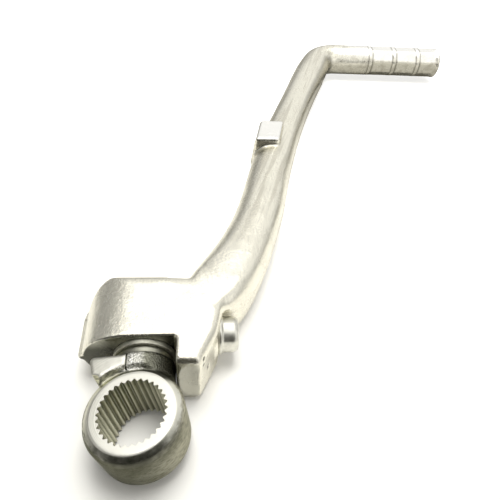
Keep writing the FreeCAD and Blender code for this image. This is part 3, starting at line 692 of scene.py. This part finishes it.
def wornScrew():
    mesh, solid = remeshed(nodes["retaining_screw"], "wornScrew", screw["voxel"])
    skin = bmesh.new()
    skin.from_mesh(mesh)
    head = []
    for vert in skin.verts:
        x, y, z = vert.co
        if x < screw["flangeFrom"] - screw["voxel"]:
            vert.co = solid.find_nearest(vert.co)[0]
            continue
        head.append(vert)
        reach = math.hypot(y - screw["line"], z)
        if x >= screw["hexFrom"] and reach >= screw["endRadius"]:
            tapered = screw["endRadius"] + (screw["hexTo"] - x) * screw["endTaper"]
            wanted = min(screw["wornRadius"], tapered)
            grow = 1.0 + screw["wear"] * (wanted / reach - 1.0)
            vert.co = (x, screw["line"] + (y - screw["line"]) * grow, z * grow)
    relax(skin, head, screw["softSteps"])
    piece = skinnedPiece("wornScrew", skin, mesh)
    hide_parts("retaining_screw")
    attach(piece, "lever")
    return piece


def coiledSpring():
    piece = newObject("coiledSpring", nodes["detent_spring"].data.copy())
    piece.matrix_world = nodes["detent_spring"].matrix_world
    dress(piece, brightSteel("springSteel", "spring"))
    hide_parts("detent_spring")
    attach(piece, "knuckle")
    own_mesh(piece)


aluminium = forgedAluminium()
dress(forgedLever(), aluminium)
dress(nodes["lever_arm"], aluminium)
dress(nodes["splined_knuckle"], platedKnuckle())
screwSteel = brightSteel("platedScrew", "screw")
dress(wornScrew(), screwSteel)
dress(nodes["retaining_screw"], screwSteel)
dress(nodes["thrust_washer"], brightSteel("washerSteel", "washer"))
dress(nodes["detent_ball"], brightSteel("ballSteel", "ball"))
coiledSpring()
dress(nodes["post_seal"], sealRubber())
print("finishes set")

# table top: lifted to white for the camera far out and at the far end, and it keeps the shadow;
# the metal sees its far end darker, painted shade for the light falling off there
table = {
    "size": 3.0,
    "middle": (60.0 * mm, 100.0 * mm),     # distances below are from here
    "gap": 0.05 * mm,
    "albedo": (0.82, 0.81, 0.765, 1),
    "fleck": (0.84, 0.825, 0.775, 1),
    # painted shade: the table's far end as the metal sees it
    "reflectedShade": (0.42, 0.41, 0.375, 1),
    "cloud": (8.0, 2.0, 0.5),
    "farLift": (-120.0 * mm, 80.0 * mm, 0.02, 0.65),
    "roundLift": (230.0 * mm, 420.0 * mm, 0.0, 0.75),
    "mirrorFrom": (10.0 * mm, 100.0 * mm),
    "liftTint": (1, 1, 1, 1),
    "roughness": 0.7,
    "gloss": 0.2,
}


def whiteTable():
    material, tree = newMaterial("whiteTable")
    spot = tree.spot()
    along = tree.toward(spot, (0, 1, 0))
    farLift = tree.ramp(along, *table["farLift"])
    roundLift = tree.ramp(tree.vector("LENGTH", spot), *table["roundLift"])
    ray = tree.add("ShaderNodeLightPath").outputs
    lift = tree.times(ray["Is Camera Ray"], tree.math("MAXIMUM", farLift, roundLift))
    # painted shade at the far end, seen only in reflections
    glossShade = tree.times(tree.ramp(along, *table["mirrorFrom"]), ray["Is Glossy Ray"])
    colour = tree.mix(tree.noise(spot, *table["cloud"]), table["albedo"], table["fleck"])
    values = {"Base Color": tree.mix(glossShade, colour, table["reflectedShade"]), "Emission Strength": lift}
    tree.finish(values, Emission_Color=table["liftTint"], Roughness=table["roughness"],
                Specular_IOR_Level=table["gloss"])
    return material


def flatObject(name, shape, **settings):
    mesh = bpy.data.meshes.new(name)
    builder = bmesh.new()
    shape(builder, **settings)
    builder.to_mesh(mesh)
    builder.free()
    return newObject(name, mesh)


floor = flatObject("tableTop", bmesh.ops.create_grid, x_segments=2, y_segments=2, size=table["size"])
floor.location = (*table["middle"], cadBox[0][2] - table["gap"])
dress(floor, whiteTable())

# studio: grey walls, a white panel overhead, softer ones behind and on the right
studio = {
    "wall": 0.36,
    "mattLoss": 0.5,      # share of this light that matt surfaces don't get
    "tint": (1.0, 0.995, 0.975, 1),
    "panels": (
        {"azimuth": 5.0, "rise": 80.0, "inner": 24.0, "outer": 36.0, "level": 1.50},     # overhead
        {"azimuth": 25.0, "rise": 36.0, "inner": 10.0, "outer": 52.0, "level": 0.60},    # behind
        {"azimuth": 140.0, "rise": 42.0, "inner": 25.0, "outer": 48.0, "level": 0.70},   # front right
        {"azimuth": 95.0, "rise": 5.0, "inner": 30.0, "outer": 60.0, "level": 0.22},     # right wall
    ),
}
world = bpy.data.worlds.new("studio")
scene.world = world
world.use_nodes = True
sky = Tree(world.node_tree)
direction = sky.vector("NORMALIZE", sky.add("ShaderNodeTexCoord").outputs["Generated"])


def lobe(panel):
    # the azimuth runs from +Y towards +X
    turn, rise = math.radians(panel["azimuth"]), math.radians(panel["rise"])
    centre = (math.sin(turn) * math.cos(rise), math.cos(turn) * math.cos(rise), math.sin(rise))
    edge, core = math.cos(math.radians(panel["outer"])), math.cos(math.radians(panel["inner"]))
    return sky.ramp(sky.toward(direction, centre), edge, core, 0.0, panel["level"])


glow = studio["wall"]
for panel in studio["panels"]:
    glow = sky.math("ADD", lobe(panel), glow)
ray = sky.add("ShaderNodeLightPath").outputs
glow = sky.times(glow, sky.without(sky.times(ray["Is Diffuse Ray"], studio["mattLoss"])))
glow = sky.times(glow, sky.without(ray["Is Camera Ray"]))
strength = sky.math("ADD", glow, ray["Is Camera Ray"])
background = sky.add("ShaderNodeBackground", {"Color": studio["tint"], "Strength": strength})
sky.add("ShaderNodeOutputWorld", {"Surface": background.outputs[0]})

# lamp high behind the ring, so that the ring's shadow falls towards the camera
softbox = {
    "place": Vector((18.0 * mm, 90.0 * mm, 440.0 * mm)),
    "aim": Vector((0.0, 20.0 * mm, 0.0)),
    "size": 220.0 * mm,
    "watts": 1.85,
}
lamp = bpy.data.lights.new("softbox", "AREA")
lamp.shape = "SQUARE"
lamp.size = softbox["size"]
lamp.energy = softbox["watts"]
lampObject = newObject("softbox", lamp)
lampObject.location = softbox["place"]
lampObject.visible_glossy = False
lampObject.rotation_euler = (softbox["aim"] - softbox["place"]).to_track_quat("-Z", "Y").to_euler()

# dark card round the camera, which only the metal sees
card = {
    "place": Vector((-12.0 * mm, -132.0 * mm, 78.0 * mm)),
    "radius": 130.0 * mm,
    "segments": 48,
    "stretch": (1.7, 1.0, 1.0),
    "grey": (0.035, 0.035, 0.03, 1),
    "fade": (0.06, 0.06, 0.05, 1),
    "cloud": (40.0, 3.0, 0.5),
    "roughness": 0.9,
    "hiddenFrom": ("camera", "diffuse", "transmission", "volume_scatter", "shadow"),
}


def darkCloth():
    material, tree = newMaterial("darkCloth")
    colour = tree.mix(tree.noise(tree.spot(), *card["cloud"]), card["grey"], card["fade"])
    tree.finish({"Base Color": colour}, Roughness=card["roughness"])
    return material


cardObject = flatObject("darkCard", bmesh.ops.create_circle, cap_ends=True,
                        segments=card["segments"], radius=card["radius"])
cardObject.location = card["place"]
cardObject.scale = card["stretch"]
cardObject.rotation_euler = card["place"].to_track_quat("Z", "Y").to_euler()
for kind in card["hiddenFrom"]:
    setattr(cardObject, "visible_" + kind, False)
dress(cardObject, darkCloth())
print("studio set")

# camera at the photo's viewpoint, close and looking down along the lever
view = {
    "place": (14.815 * mm, -59.892 * mm, 127.142 * mm),
    "down": math.radians(45.386),
    "swing": math.radians(8.83),
    "roll": math.radians(-6.0),
    "lens": 36.0,
    "sensor": 36.0,
    "clip": 1.0 * mm,
}
level = math.cos(view["down"])
ahead = Vector((math.sin(view["swing"]) * level, math.cos(view["swing"]) * level, -math.sin(view["down"])))
right = Vector((math.cos(view["swing"]), -math.sin(view["swing"]), 0.0))
under = ahead.cross(right)
turnedRight = right * math.cos(view["roll"]) + under * math.sin(view["roll"])
turnedUnder = under * math.cos(view["roll"]) - right * math.sin(view["roll"])
cameraData = bpy.data.cameras.new("photoView")
cameraData.sensor_width = view["sensor"]
cameraData.lens = view["lens"]
cameraData.clip_start = view["clip"]
camera = newObject("photoView", cameraData)
axes = Matrix((turnedRight, -turnedUnder, -ahead)).transposed()
camera.matrix_world = Matrix.Translation(view["place"]) @ axes.to_4x4()
scene.camera = camera
print("camera set")
